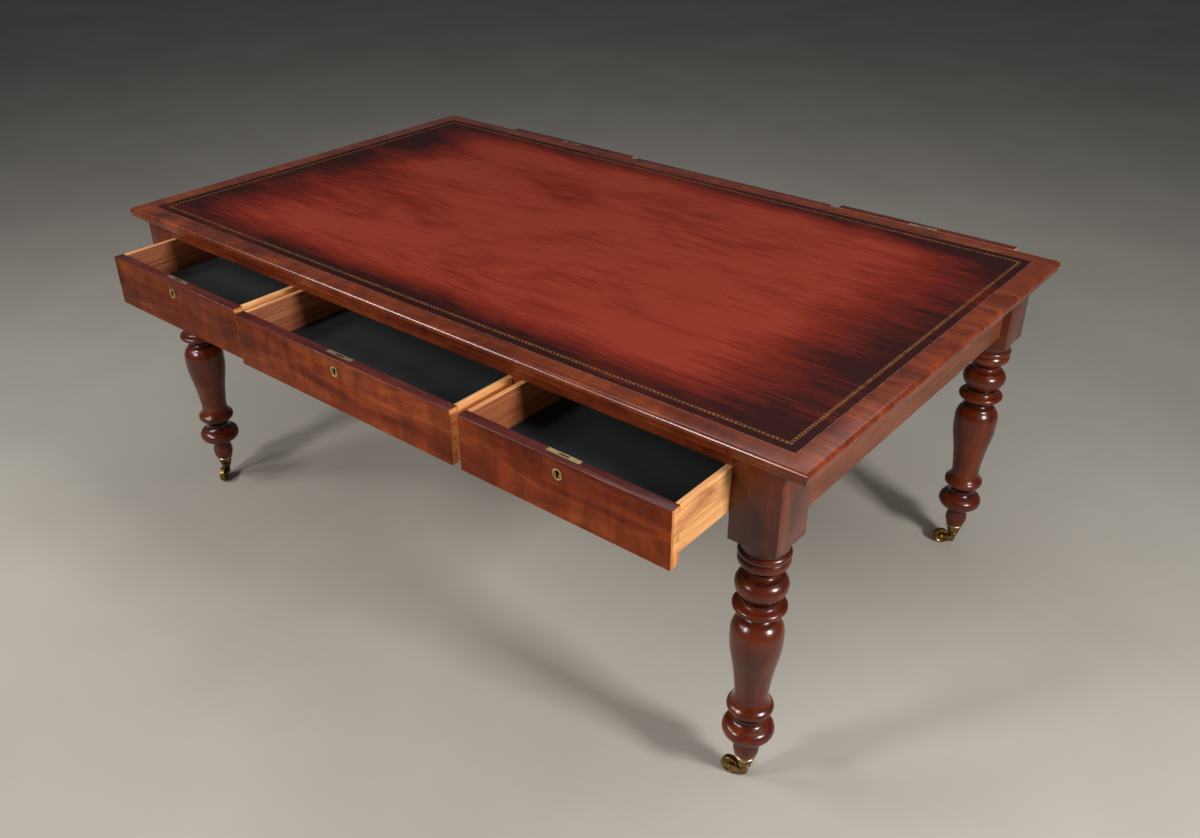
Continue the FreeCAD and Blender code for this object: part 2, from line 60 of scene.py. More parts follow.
# %% Set the camera
photo_width = 1200
focal_length_in_pixels = 1097.95
sensor_width = 36.0
camera_place = Vector((1.5245, -1.7708, 1.6354))
camera_turn = math.radians(39.0165)
camera_tilt = math.radians(30.4496)
camera_roll = math.radians(0.0895)

bpy.ops.object.select_all(action="DESELECT")
bpy.ops.object.camera_add()
camera = bpy.context.active_object
camera.name = "photo_camera"
camera.data.sensor_width = sensor_width
camera.data.lens = sensor_width * focal_length_in_pixels / photo_width
camera.data.clip_end = 60
camera.matrix_world = (
    Matrix.Translation(camera_place)
    @ Matrix.Rotation(camera_turn, 4, "Z")
    @ Matrix.Rotation(math.pi / 2 - camera_tilt, 4, "X")
    @ Matrix.Rotation(camera_roll, 4, "Z")
)
bpy.context.scene.camera = camera
print("lens", round(camera.data.lens, 2), "mm")

# %% [markdown]
# ## Building materials
# A finish is a graph of nodes: patterns placed in real millimetres, colours taken from them, and a
# shader. One small function adds a node with its settings and its links, so that a recipe reads
# from top to bottom. Colours are chosen on screen, in sRGB, while the shader works in linear light,
# so one function turns one into the other.

# %% Turn a screen colour to linear light
def linear(hex_colour):
    """The linear colour, fully opaque, of a colour written #RRGGBB."""
    channels = [int(hex_colour[start:start + 2], 16) / 255 for start in (1, 3, 5)]
    return [
        value / 12.92 if value <= 0.04045 else ((value + 0.055) / 1.055) ** 2.4
        for value in channels
    ] + [1]


print("mahogany red in linear light", [round(value, 3) for value in linear("#6E2C1A")])

# %% Add a node
def set_inputs(tree, node, inputs):
    """Set inputs of a node, by name or, from a list, in their order.

    Each is set to a value, a screen colour, a socket or a node's first output.
    """
    for key, value in inputs.items() if isinstance(inputs, dict) else enumerate(inputs):
        socket = node.inputs[key] if isinstance(key, int) else next(
            place for place in node.inputs if place.enabled and place.name == key
        )
        if isinstance(value, str):
            value = linear(value)
        if isinstance(value, bpy.types.Node):
            value = next(place for place in value.outputs if place.enabled)
        if isinstance(value, bpy.types.NodeSocket):
            tree.links.new(value, socket)
        else:
            socket.default_value = value


def add(tree, kind, inputs=(), stops=(), **settings):
    """Add a shader node with its settings, its inputs and, for a ramp, its colour stops."""
    node = tree.nodes.new(f"ShaderNode{kind}")
    for setting, value in settings.items():
        setattr(node, setting, value)
    set_inputs(tree, node, inputs)
    stops = list(stops)
    for place, colour in stops:
        ramp = node.color_ramp.elements
        is_end = place in (stops[0][0], stops[-1][0])
        stop = ramp[0 if place == stops[0][0] else len(ramp) - 1] if is_end else ramp.new(place)
        stop.position = place
        stop.color = linear(colour)
    return node


def new_material(name):
    """A material with its shader, and the object's own coordinates in metres."""
    material = bpy.data.materials.new(name)
    material.use_nodes = True
    tree = material.node_tree
    place = add(tree, "TexCoord").outputs["Object"]
    return material, tree, tree.nodes["Principled BSDF"], place


print("nodes are added by one function")

# %% Stretch a pattern along the grain
def grain_pattern(tree, place, along, length, width, detail, roughness=0.5, distortion=0.0):
    """Noise whose spots have a real length along one axis and a real width across it."""
    scale = [1 / length if axis == along else 1 / width for axis in "XYZ"]
    stretched = add(tree, "Mapping", {"Vector": place, "Scale": scale})
    return add(tree, "TexNoise", {
        "Vector": stretched, "Scale": 1.0, "Detail": detail, "Roughness": roughness,
        "Distortion": distortion,
    })


print("a pattern's scale is one over its size")

# %% [markdown]
# ## Polished mahogany
# Mahogany is a red-brown hardwood with long, straight pores and a ribbon or mottled figure. This
# desk is French polished: many thin coats of shellac rubbed on by hand and waxed, which gives a
# deep gloss over a slightly uneven surface. Each pattern is stretched along the grain, so its scale
# is one number along the fibres and another across them, each one over a real size in metres.
# Real pores are about 0.2 mm wide. They are drawn 1.4 mm wide, or they couldn't be seen.

# %% Mix the polished mahogany
# Each pattern has its length and width, then its noise's detail, roughness and distortion.
wood_patterns = {
    "figure": (0.26, 0.055, 5.0, 0.62, 0.9),
    "mottle": (0.05, 0.16, 3.0, 0.5, 1.2),
    "streaks": (0.22, 0.007, 4.0, 0.7, 0.4),
    "pores": (0.040, 0.0014, 2.0, 0.6, 0.0),
}
polish_ripple = 0.045
# Painted shade, for light that falls off towards the left end, is darkest at the first of these
# places along the desk.
darkest_x, lightest_x = -0.7, 0.2


def polished_mahogany(part, along, tones, mottle, streak, seed, gloss, haze, blur=0.2, left_end_shade=0.0):
    """Shellac over mahogany whose fibres run along one axis. Worn polish has more haze and blur.

    The left end of the desk can be darkened with painted shade, where less light falls.
    """
    material, tree, shader, place = new_material(f"polished_mahogany_{part}")
    shift = (seed, seed * 1.7, seed * 0.6)
    place = add(tree, "VectorMath", [place, shift], operation="ADD")
    noises = {
        pattern: grain_pattern(tree, place, along, *size) for pattern, size in wood_patterns.items()
    }
    stops = zip((0.30, 0.50, 0.72), tones)
    colour = add(tree, "ValToRGB", {"Fac": noises["figure"]}, stops=stops)
    axes = add(tree, "SeparateXYZ", {"Vector": place})
    # A MapRange takes a value, the range that it comes from and the range that it goes to.
    # This ramp darkens the left end of the desk with painted shade.
    reach = [axes.outputs["X"], seed + darkest_x, seed + lightest_x, 1.0 - left_end_shade, 1.0]
    shade = add(tree, "MapRange", reach)
    for pattern, *ranges in (
        ("mottle", 0.35, 0.70, 1.0 - mottle, 1.0 + mottle / 2),
        ("streaks", 0.32, 0.66, 1.0 - streak, 1.0 + streak / 3),
        ("pores", 0.56, 0.72, 1.0, 1.0 - streak / 2),
    ):
        part_shade = add(tree, "MapRange", [noises[pattern], *ranges])
        shade = add(tree, "Math", [shade, part_shade], operation="MULTIPLY")
    wood = add(tree, "VectorMath", {0: colour, "Scale": shade}, operation="SCALE")
    pore_bump = add(
        tree, "Bump", {"Height": noises["pores"], "Strength": 0.12, "Distance": 0.0002}, invert=True
    )
    ripple = add(tree, "TexNoise", {"Vector": place, "Scale": 1 / polish_ripple, "Detail": 2.0})
    polish = add(tree, "Bump", {"Height": ripple, "Strength": 0.35, "Distance": 0.0006})
    set_inputs(tree, shader, {
        "Base Color": wood, "Normal": pore_bump, "Coat Normal": polish, "Roughness": 0.36,
        "Specular IOR Level": haze, "Coat Weight": gloss, "Coat Roughness": blur,
    })
    return material


# Each part has its grain's axis, its three tones, then mottle, streak, seed, gloss, haze, and for
# some parts blur and the painted shade towards the left end.
mahogany = {
    part: polished_mahogany(part, *recipe) for part, recipe in {
        "top": ("X", ("#4C1A0A", "#702C12", "#8A421E"), 0.3, 0.3, 0.0, 0.9, 0.05, 0.22),
        "legs": ("Z", ("#3A1206", "#581D07", "#702E0D"), 0.2, 0.2, 3.1, 0.9, 0.03, 0.24),
        "aprons": ("Y", ("#58240F", "#703619", "#864A28"), 0.1, 0.15, 5.3, 0.5, 0.1),
        "rails": ("X", ("#46180A", "#66280F", "#7E3818"), 0.2, 0.3, 7.9, 0.4, 0.1),
        "fronts": ("X", ("#5A2010", "#7E3418", "#A05024"), 0.35, 0.15, 11.2, 0.12, 0.03, 0.2, 0.5),
        "front_edges": ("X", ("#3A1412", "#56201A", "#6A3022"), 0.2, 0.3, 1.9, 0.4, 0.2),
        "uprights": ("Z", ("#46180A", "#66280F", "#7E3818"), 0.2, 0.3, 8.4, 0.4, 0.1),
    }.items()
}
print("mahogany finishes", len(mahogany))

# %% [markdown]
# ## Unpolished drawer wood
# Drawers run dry, so their sides and backs are left without polish. The cedar is painted pale
# orange outside, as lit, browner inside, as painted shade, and rubbed lighter along the top edges.
# The wood in a keyhole is painted black, as shade in the deep hole. Bare wood is matt, with no
# coat.

# %% Mix the drawer woods
growth_line = (0.30, 0.006)
stain_blot = (0.16, 0.045)


def bare_wood(name, along, tones, stain=0.0, stain_colour="#5A2A1C", seed=0.0):
    """Dry softwood with its growth lines, and stains where polish and hands have reached it."""
    material, tree, shader, place = new_material(name)
    shift = (seed, seed * 0.7, seed * 1.3)
    place = add(tree, "VectorMath", [place, shift], operation="ADD")
    lines = grain_pattern(tree, place, along, *growth_line, 4.0, 0.6, 0.5)
    colour = add(tree, "ValToRGB", {"Fac": lines}, stops=zip((0.34, 0.50, 0.68), tones))
    blots = grain_pattern(tree, place, along, *stain_blot, 4.0, 0.5, 0.8)
    stained = add(tree, "MapRange", [blots, 0.50, 0.74, 0.0, stain])
    stained_tones = {"Factor": stained, "A": colour, "B": stain_colour}
    wood = add(tree, "Mix", stained_tones, data_type="RGBA")
    bump = add(tree, "Bump", {"Height": lines, "Strength": 0.25, "Distance": 0.0003})
    set_inputs(tree, shader, {
        "Base Color": wood, "Normal": bump, "Roughness": 0.62, "Specular IOR Level": 0.3,
    })
    return material


pine_tones = ("#8A5A34", "#A8744A", "#BE8C60")
# The outside is painted paler, as lit, and the inside browner, as painted shade.
lit_cedar_outside = bare_wood(
    "bare_cedar_lit_outside", "Y", ("#C48046", "#DA9C60", "#E6B27C"), 0.8, "#8A4826"
)
shaded_cedar_inside = bare_wood(
    "bare_cedar_shaded_inside", "Y", ("#7C3E22", "#92502E", "#A4603A"), 0.4, "#4A2012", 2.3
)
cedar_edges = bare_wood(
    "bare_cedar_top_edges", "Y", ("#A8683C", "#C88E58", "#DCAA76"), 0.5, "#8A4E2C", 4.1
)
cedar_back = bare_wood(
    "bare_cedar_backs", "X", ("#7C4226", "#9C5A38", "#B06E48"), 0.35, "#5A2A1C", 5.7
)
cedar_ends = bare_wood(
    "bare_cedar_front_ends", "Z", ("#A05A2C", "#C88244", "#DCA060"), 0.35, "#7A3A1C", 6.6
)
# The keyhole's wood is painted near black, as the shade in the deep hole.
keyhole_shade_wood = bare_wood("painted_shade_keyhole_wood", "X", ("#0C0604", "#120A06", "#1A0E08"))
pine_along = bare_wood("carcase_pine_along", "X", pine_tones, 0.3, "#6A3E24", 7.2)
pine_across = bare_wood("carcase_pine_across", "Y", pine_tones, 0.3, "#6A3E24", 8.8)
print("finishes up to the bare woods", len(bpy.data.materials))

# %% [markdown]
# ## The writing leather
# The skin is hide dyed red, then shaded by hand with a dark colour that is rubbed in from the edges
# and left in streaks and clouds. A gold border is tooled into it with a heated wheel: two fine
# lines with a small repeating ornament between them, and a blind pair, without gold, further in.
# The distance from the nearest edge drives the shading and both borders. The skin is centred on
# the desk, so this is the smaller of the distances from a long side and from an end.

# %% Mix the writing leather
skin_half_length, skin_half_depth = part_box("writing_leather")[1].xy
gold_inset = 0.0215
gold_half_width, gold_line_half_width = 0.0026, 0.0004
gold_ornament = 0.0085
ornament_narrowest, ornament_widest = -0.0012, 0.0021
worn_patch = 0.01667
blind_inset = 0.043
blind_spread, blind_half_width = 0.0015, 0.0005
skin_pore = 0.0022
# The pale line at the skin's edge is rubbed wear with a painted highlight.
rubbed_and_lit_edge = 0.0012
end_shading_reach = 0.35
side_shading_reach = 0.12
# Each pattern has its length and width, its noise's detail, roughness and distortion, the range of
# the noise that counts, and how much it lightens and darkens.
skin_patterns = {
    "clouds": ((0.3846, 0.1818, 6.0, 0.58, 0.6), (0.34, 0.68, -0.20, 0.34)),
    "streaks": ((0.2, 0.02632, 5.0, 0.65, 0.7), (0.35, 0.68, -0.07, 0.09)),
    "hairs": ((0.1111, 0.006667, 3.0, 0.5, 0.5), (0.35, 0.65, -0.17, 0.15)),
}


def writing_leather():
    """Dyed hide, shaded from the edges, with its gold and blind borders."""
    material, tree, shader, place = new_material("hand_coloured_leather")
    axes = add(tree, "SeparateXYZ", {"Vector": place})
    from_edge, reaches = [], []
    # The shading reaches further in at the ends than at the sides.
    for axis, half, reach in (
        ("X", skin_half_length, end_shading_reach), ("Y", skin_half_depth, side_shading_reach),
    ):
        offset = add(tree, "Math", [axes.outputs[axis]], operation="ABSOLUTE")
        edge = add(tree, "Math", [half, offset], operation="SUBTRACT")
        from_edge.append(edge)
        away = add(tree, "MapRange", [edge, 0.0, reach], interpolation_type="SMOOTHSTEP")
        reaches.append(away)
    nearest = add(tree, "Math", from_edge, operation="MINIMUM")
    away = add(tree, "Math", reaches, operation="MULTIPLY")
    shading = add(tree, "Math", [1.0, away], operation="SUBTRACT")
    noises = {}
    for pattern, (size, ranges) in skin_patterns.items():
        noises[pattern] = grain_pattern(tree, place, "X", *size)
        amount = add(tree, "MapRange", [noises[pattern], *ranges])
        shading = add(tree, "Math", [shading, amount], operation="ADD")
    dyed = add(tree, "ValToRGB", {"Fac": shading}, stops=[
        (0.0, "#84301E"), (0.25, "#742314"), (0.55, "#5C180D"), (0.82, "#45120A"), (1.0, "#2A0B08"),
    ])

    # The gold: two lines, and between them an ornament whose width follows a wave along the border.
    from_gold, from_blind = (
        add(tree, "Math", [add(tree, "Math", [nearest, inset], operation="SUBTRACT")],
            operation="ABSOLUTE")
        for inset in (gold_inset, blind_inset)
    )
    beside_end = add(tree, "Math", from_edge, operation="LESS_THAN")
    ways = {"Factor": beside_end, "A": axes.outputs["X"], "B": axes.outputs["Y"]}
    along = add(tree, "Mix", ways)
    turns = add(tree, "Math", [along, 2 * math.pi / gold_ornament], operation="MULTIPLY")
    wave = add(tree, "Math", [turns], operation="COSINE")
    ornament_half = add(tree, "MapRange", [wave, -1.0, 1.0, ornament_narrowest, ornament_widest])
    in_ornament = add(tree, "Math", [from_gold, ornament_half], operation="LESS_THAN")
    line = [from_gold, gold_half_width, gold_line_half_width]
    in_lines = add(tree, "Math", line, operation="COMPARE")
    gilt = add(tree, "Math", [in_ornament, in_lines], operation="MAXIMUM")
    patches = add(tree, "TexNoise", {"Vector": place, "Scale": 1 / worn_patch, "Detail": 3.0})
    worn = add(tree, "MapRange", [patches, 0.36, 0.60, 0.35, 1.0])
    gilt = add(tree, "Math", [gilt, worn], operation="MULTIPLY")

    # The blind pair, and the pale line at the skin's own edge: rubbed wear with a painted
    # highlight.
    line = [from_blind, blind_spread, blind_half_width]
    blind = add(tree, "Math", line, operation="COMPARE")
    crease = add(tree, "Math", [blind, 0.5], operation="MULTIPLY")
    rubbed_and_lit = add(tree, "Math", [nearest, rubbed_and_lit_edge], operation="LESS_THAN")
    rubbed_and_lit = add(tree, "Math", [rubbed_and_lit, worn], operation="MULTIPLY")
    colour = dyed
    for amount, tone in ((crease, "#1A0A0C"), (rubbed_and_lit, "#6E5850"), (gilt, "#A0703E")):
        colour = add(tree, "Mix", {"Factor": amount, "A": colour, "B": tone}, data_type="RGBA")
    metal = add(tree, "Math", [gilt, 0.6], operation="MULTIPLY")

    pores = add(tree, "TexVoronoi", {"Vector": place, "Scale": 1 / skin_pore}, feature="SMOOTH_F1")
    grain = add(tree, "Bump", {"Height": pores, "Strength": 0.10, "Distance": 0.0003})
    pressed = add(tree, "Math", [gilt, blind], operation="MAXIMUM")
    tooling = add(tree, "Bump", {
        "Height": pressed, "Normal": grain, "Strength": 0.5, "Distance": 0.0003,
    }, invert=True)
    wax = add(tree, "MapRange", [noises["clouds"], 0.35, 0.70, 0.46, 0.56])
    set_inputs(tree, shader, {
        "Base Color": colour, "Metallic": metal, "Normal": tooling, "Roughness": wax,
        "Specular IOR Level": 0.08, "Coat Weight": 0.2, "Coat Roughness": 0.16,
    })
    return material


red_leather = writing_leather()
print("leather", round(2 * skin_half_length, 3), "by", round(2 * skin_half_depth, 3))

# %% [markdown]
# ## Lining and brass
# The drawers are lined with a dark blue-green paper-backed cloth. Its threads are far too fine to
# show, so only its slight clouding, its soft sheen and a bluer strip of painted light and sheen
# behind the fronts are drawn. The castors, lock plates and keyhole rings are brass: yellow where it
# is rubbed, brown where it has tarnished.

# %% Mix the lining and the brass
lit_strip_from, lit_strip_to = 0.54, 0.67
lining_cloud, lining_thread = 0.07143, 0.0011111
tarnish_patch = 0.0125


def drawer_lining():
    """Matt cloth, with a bluer strip of painted light and sheen near the drawer's front end."""
    material, tree, shader, place = new_material("dark_lining_cloth")
    clouds = add(tree, "TexNoise", {
        "Vector": place, "Scale": 1 / lining_cloud, "Detail": 5.0, "Roughness": 0.6,
    })
    stops = [(0.3, "#080B0C"), (0.55, "#0E1416"), (0.8, "#182220")]
    colour = add(tree, "ValToRGB", {"Fac": clouds}, stops=stops)
    axes = add(tree, "SeparateXYZ", {"Vector": place})
    towards_front = add(tree, "Math", [axes.outputs["Y"]], operation="ABSOLUTE")
    ranges = [towards_front, lit_strip_from, lit_strip_to, 0.0, 0.9]
    lit_strip = add(tree, "MapRange", ranges, interpolation_type="SMOOTHSTEP")
    # The bluer tone near the front is painted light and sheen.
    cloth = add(tree, "Mix", {"Factor": lit_strip, "A": colour, "B": "#364250"}, data_type="RGBA")
    threads = add(tree, "TexNoise", {"Vector": place, "Scale": 1 / lining_thread, "Detail": 2.0})
    bump = add(tree, "Bump", {"Height": threads, "Strength": 0.2, "Distance": 0.0003})
    set_inputs(tree, shader, {
        "Base Color": cloth, "Normal": bump, "Roughness": 0.6, "Specular IOR Level": 0.3,
        "Sheen Weight": 0.08,
    })
    return material


def old_brass(name, bright, tarnished, tarnish, smooth=0.22):
    """Cast or rolled brass. The tarnish lies in patches, as handling leaves them."""
    material, tree, shader, place = new_material(name)
    patches = add(tree, "TexNoise", {"Vector": place, "Scale": 1 / tarnish_patch, "Detail": 3.0})
    amount, rough = (
        add(tree, "MapRange", [patches, 0.35, 0.65, least, most])
        for least, most in ((0.0, tarnish), (smooth, smooth + 0.2))
    )
    colour = add(tree, "Mix", {"Factor": amount, "A": bright, "B": tarnished}, data_type="RGBA")
    set_inputs(tree, shader, {"Base Color": colour, "Roughness": rough, "Metallic": 1.0})
    return material


lining_cloth = drawer_lining()
polished_brass = old_brass("polished_brass", "#F0D498", "#C09A5C", 0.6)
rubbed_brass = old_brass("rubbed_brass", "#F4DEA8", "#A88A54", 0.8, smooth=0.34)
dulled_brass = old_brass("dulled_brass", "#B8985C", "#8A6C3C", 0.6, smooth=0.34)
aged_brass = old_brass("aged_brass", "#A0804C", "#4A3822", 0.8, smooth=0.28)
print("materials", len(bpy.data.materials))

# %% [markdown]
# ## Tools for making pieces
# The pieces are made as by hand: a primitive at its size and place, shaped in edit mode. Loading
# the frame leaves its nodes selected, and an operator works on all that is selected, so each start
# clears the selection. A finished piece keeps its place in its mesh, rides on its body, and hides
# the node that it stands for.

# %% Start, select and finish a piece
merge_distance = 0.000005
smooth_angle = math.radians(35)


def start(primitive, name, **settings):
    """Add a primitive, alone in the selection, and open it in edit mode."""
    bpy.ops.object.select_all(action="DESELECT")
    getattr(bpy.ops.mesh, f"primitive_{primitive}_add")(**settings)
    piece = bpy.context.active_object
    piece.name = piece.data.name = name
    bpy.ops.object.transform_apply(location=True, rotation=True, scale=True)
    bpy.ops.object.mode_set(mode="EDIT")
    return piece


def select(piece, kind, is_wanted):
    """Select the edges or faces of the mesh in edit mode that pass a test."""
    bpy.ops.mesh.select_mode(type={"edges": "EDGE", "faces": "FACE"}[kind])
    bpy.ops.mesh.select_all(action="DESELECT")
    shape = bmesh.from_edit_mesh(piece.data)
    for part in getattr(shape, kind):
        if is_wanted(part):
            part.select_set(True)
    bmesh.update_edit_mesh(piece.data)


def heights(edge):
    """The heights of an edge's two ends."""
    return [vert.co.z for vert in edge.verts]


def close_edit(piece):
    """Merge the mesh's double points, turn its faces outwards and leave edit mode."""
    bpy.ops.mesh.select_all(action="SELECT")
    bpy.ops.mesh.remove_doubles(threshold=merge_distance)
    bpy.ops.mesh.normals_make_consistent(inside=False)
    bpy.ops.object.mode_set(mode="OBJECT")
    bpy.ops.object.shade_smooth_by_angle(angle=smooth_angle)
    return piece


def dress(piece, body, nodes, slot, *materials):
    """Give a finished piece its materials, its body and the nodes that it replaces. The slot is not
    used.
    """
    for material in materials:
        piece.data.materials.append(material)
    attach(piece, body)
    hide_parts(*nodes)


def join(first, *others):
    """Join pieces into the first one's object."""
    bpy.ops.object.select_all(action="DESELECT")
    for piece in (first, *others):
        piece.select_set(True)
    bpy.context.view_layer.objects.active = first
    bpy.ops.object.join()
    return first


def copy_of(piece, name, matrix):
    """A copy with its own mesh, moved by a matrix that goes into the mesh."""
    other = bpy.data.objects.new(name, piece.data.copy())
    other.data.name = name
    other.data.transform(matrix)
    bpy.context.scene.collection.objects.link(other)
    return other


print("tools ready")

# %% [markdown]
# ## The moulded top
# The edge of the top is a thumb moulding: a full round nose over a small bead that is set back a
# little. The nose is a block whose upper edges are bevelled with a large round and whose lower
# edges have a small one. Its top face is inset for the border and pressed down for the leather.

# %% Make the moulded top
board_low, board_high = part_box("top_board")
nose_height = 0.0155
nose_upper_round, nose_lower_round = 0.009, 0.004
bead_setback, bead_round = 0.002, 0.002
leather_margin = {"X": 0.045, "Y": 0.042}
leather_recess = 0.0015
near_enough = 0.0001
board_size = board_high - board_low
nose_bottom = board_high.z - nose_height

top = start(
    "cube", "moulded_top", size=1,
    location=(0, 0, board_high.z - nose_height / 2),
    scale=(board_size.x, board_size.y, nose_height),
)
select(top, "edges", lambda edge: min(heights(edge)) > board_high.z - near_enough)
bpy.ops.mesh.bevel(offset=nose_upper_round, segments=8)
select(top, "edges", lambda edge: max(heights(edge)) < nose_bottom + near_enough)
bpy.ops.mesh.bevel(offset=nose_lower_round, segments=5)
select(top, "faces", lambda face: face.normal.z > 0.999 and face.calc_area() > 1)
bpy.ops.mesh.inset(thickness=leather_margin["Y"] - nose_upper_round)
inset_length = board_size.x - 2 * leather_margin["Y"]
skin_share = (board_size.x - 2 * leather_margin["X"]) / inset_length
bpy.ops.transform.resize(value=(skin_share, 1, 1), center_override=(0, 0, board_high.z))
bpy.ops.mesh.extrude_region_move(TRANSFORM_OT_translate={"value": (0, 0, -leather_recess)})
close_edit(top)

bead_length, bead_depth = (side - 2 * bead_setback for side in board_size.xy)
bead = start(
    "cube", "bead", size=1, location=(0, 0, (board_low.z + nose_bottom) / 2),
    scale=(bead_length, bead_depth, nose_bottom - board_low.z),
)
select(bead, "edges", lambda edge: max(heights(edge)) < board_low.z + near_enough)
bpy.ops.mesh.bevel(offset=bead_round, segments=4)
close_edit(bead)
join(top, bead)
dress(top, "desk", ["top_board"], "polished_mahogany", mahogany["top"])
print("top", len(top.data.polygons), "faces")

# %% [markdown]
# ## The turned legs
# Each leg is one square of timber. Its top stays square, to take the rails, and the rest is turned
# on a lathe: rings, two bulbs, a long vase, a collar, a low bulb and a narrow ankle. A lathe is a
# circle that is extruded and resized again and again along the outline. The outline's points are
# shares of the turned length and of the largest radius. The short mouldings are true arcs, and the
# long ones are smooth curves through their points.

# %% Follow the outline of a moulding
arc_steps, curve_steps = 7, 4


def arc_through(start_point, middle_point, end_point):
    """Points on the circle through three points, without the first."""
    a, b, c = (Vector(point) for point in (start_point, middle_point, end_point))
    turn = 2 * ((b - a).x * (c - a).y - (b - a).y * (c - a).x)
    ab, ac = (b - a).length_squared, (c - a).length_squared
    centre = a + Vector(((c - a).y * ab - (b - a).y * ac, (b - a).x * ac - (c - a).x * ab)) / turn
    first = math.atan2(*(a - centre).yx)
    through = (math.atan2(*(b - centre).yx) - first) % (2 * math.pi)
    sweep = (math.atan2(*(c - centre).yx) - first) % (2 * math.pi)
    if through > sweep:
        sweep -= 2 * math.pi
    radius = (a - centre).length
    angles = [first + sweep * (step + 1) / arc_steps for step in range(arc_steps)]
    return [centre + radius * Vector((math.cos(angle), math.sin(angle))) for angle in angles]


def curve_through(points):
    """Points on a smooth curve through all the points, without the first."""
    points = [Vector(point) for point in points]
    slopes = [points[1] - points[0]]
    slopes += [(after - before) / 2 for before, after in zip(points, points[2:])]
    slopes += [points[-1] - points[-2]]
    result = []
    for (low, high), (leaving, arriving) in zip(zip(points, points[1:]), zip(slopes, slopes[1:])):
        for step in range(curve_steps):
            t = (step + 1) / curve_steps
            result.append(
                low * (2 * t**3 - 3 * t**2 + 1) + leaving * (t**3 - 2 * t**2 + t)
                + high * (3 * t**2 - 2 * t**3) + arriving * (t**3 - t**2)
            )
    return result


def follow(first, profile):
    """The whole outline, from lines, arcs and curves."""
    outline = [Vector(first)]
    for kind, *points in profile:
        if kind == "line":
            outline.append(Vector(points[0]))
        elif kind == "arc":
            outline += arc_through(outline[-1], *points)
        else:
            outline += curve_through([outline[-1], *points])
    return outline


print("an arc in", len(arc_through((0, 0), (1, 1), (2, 0))), "steps")

# %% Turn a piece on the lathe
lathe_segments = 64


def turn_on_lathe(name, outline, segments=lathe_segments):
    """Extrude and resize a disc along an outline of (radius, height) points."""
    (radius, height), *others = outline
    piece = start(
        "circle", name, vertices=segments, radius=radius, fill_type="NGON",
        location=(0, 0, height),
    )
    bpy.ops.mesh.select_all(action="SELECT")
    for next_radius, next_height in others:
        rise = (0, 0, next_height - height)
        bpy.ops.mesh.extrude_region_move(TRANSFORM_OT_translate={"value": rise})
        share = next_radius / radius
        bpy.ops.transform.resize(value=(share, share, 1), center_override=(0, 0, next_height))
        radius, height = next_radius, next_height
    return close_edit(piece)


print("lathe set to", lathe_segments, "sides")

# %% Turn one leg
leg_largest_radius = 0.0487
castor_height = 0.059
block_side, block_height, block_edge_round = 0.093, 0.164, 0.0015
spigot_radius, spigot_length = 0.0134, 0.0095
block_bottom = board_low.z - block_height
turned_length = block_bottom - castor_height
leg_start_shares = (0.883, 1.0)
leg_profile_shares = (
    ("arc", (0.85, 0.98), (0.84, 0.962)),
    ("arc", (0.944, 0.948), (0.872, 0.934)),
    ("arc", (0.936, 0.916), (0.832, 0.897)),
    ("curve", (0.64, 0.883), (0.535, 0.873), (0.515, 0.864), (0.54, 0.857), (0.62, 0.852),
     (0.74, 0.849)),
    ("line", (0.745, 0.8465)),
    ("arc", (0.885, 0.834), (0.962, 0.814)),
    ("curve", (0.925, 0.793), (0.8, 0.774), (0.69, 0.759), (0.658, 0.747), (0.7, 0.736),
     (0.84, 0.7305)),
    ("arc", (0.986, 0.7205), (0.883, 0.706)),
    ("curve", (0.68, 0.695), (0.55, 0.686), (0.515, 0.678), (0.54, 0.671), (0.61, 0.665),
     (0.7, 0.66)),
    ("line", (0.705, 0.658)),
    ("arc", (0.838, 0.644), (0.975, 0.602)),
    ("curve", (0.965, 0.548), (0.908, 0.504), (0.758, 0.424), (0.66, 0.348), (0.635, 0.314),
     (0.672, 0.291), (0.77, 0.273)),
    ("arc", (0.885, 0.254), (0.821, 0.24)),
    ("curve", (0.68, 0.228), (0.56, 0.215), (0.53, 0.203), (0.56, 0.192), (0.625, 0.184),
     (0.71, 0.179)),
    ("line", (0.715, 0.177)),
    ("arc", (0.992, 0.149), (0.79, 0.1155)),
    ("curve", (0.575, 0.103), (0.44, 0.092), (0.415, 0.078)),
    ("arc", (0.497, 0.04), (0.405, 0.004)),
    ("line", (0.38, 0.0)),
)


def in_metres(share):
    """The (radius, height) point of a share of the turning."""
    return Vector((share[0] * leg_largest_radius, castor_height + share[1] * turned_length))


leg_profile = [(kind, *map(in_metres, shares)) for kind, *shares in leg_profile_shares]
leg_outline = follow(in_metres(leg_start_shares), leg_profile)
for height in (castor_height, castor_height - spigot_length):
    leg_outline.append(Vector((spigot_radius, height)))
leg = turn_on_lathe("turned_leg", leg_outline)
print("outline", len(leg_outline), "points")

# %% Darken the coves
# Shade falls in the hollows of the turning, and old wax and dust lie there however often the rest
# is rubbed, so each is darkened with painted shade and wax. Each hollow has its lower end, its
# middle and its upper end, as shares of the turned length.
cove_shares = (
    (0.066, 0.104, 0.118), (0.176, 0.212, 0.238), (0.655, 0.684, 0.706), (0.735, 0.757, 0.785),
    (0.8455, 0.8475, 0.850), (0.858, 0.880, 0.900), (0.930, 0.935, 0.940), (0.958, 0.965, 0.974),
)
cove_shade_and_wax = "#3C3230"


